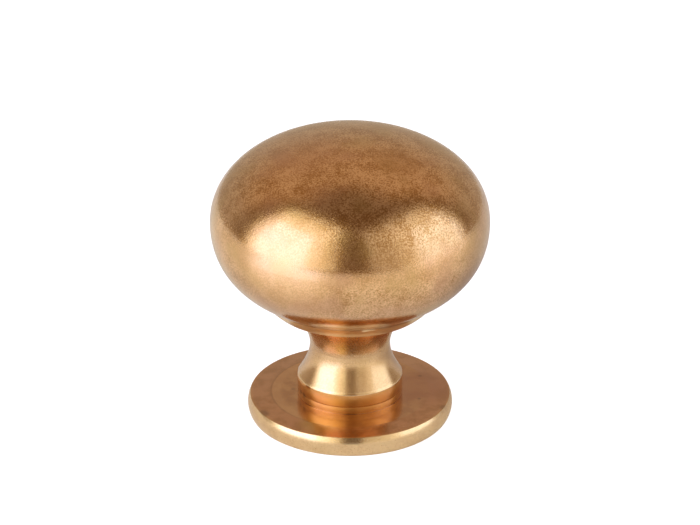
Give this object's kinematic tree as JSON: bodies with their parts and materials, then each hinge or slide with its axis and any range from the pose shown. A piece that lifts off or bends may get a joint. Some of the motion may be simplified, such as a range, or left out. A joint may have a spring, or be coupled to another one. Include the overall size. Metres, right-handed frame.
{
  "type": "cabinet knob",
  "caption": "Turned brass cabinet knob: a crowned mushroom head on a flared neck and round rose, with a blind tapped hole in its back.",
  "frame": {"origin": "centre of the rose's flat back, where it meets the door", "axes": "+Z along the turning axis, out of the door to the crown of the head; the knob is round, so +X and +Y are free"},
  "size_m": [0.038, 0.038, 0.041],
  "materials": {
    "aged_brass": "polished brass aged to a mottled brown gold, satin"
  },
  "bodies": {
    "root": {"knob": "aged_brass"}
  },
  "joints": []
}
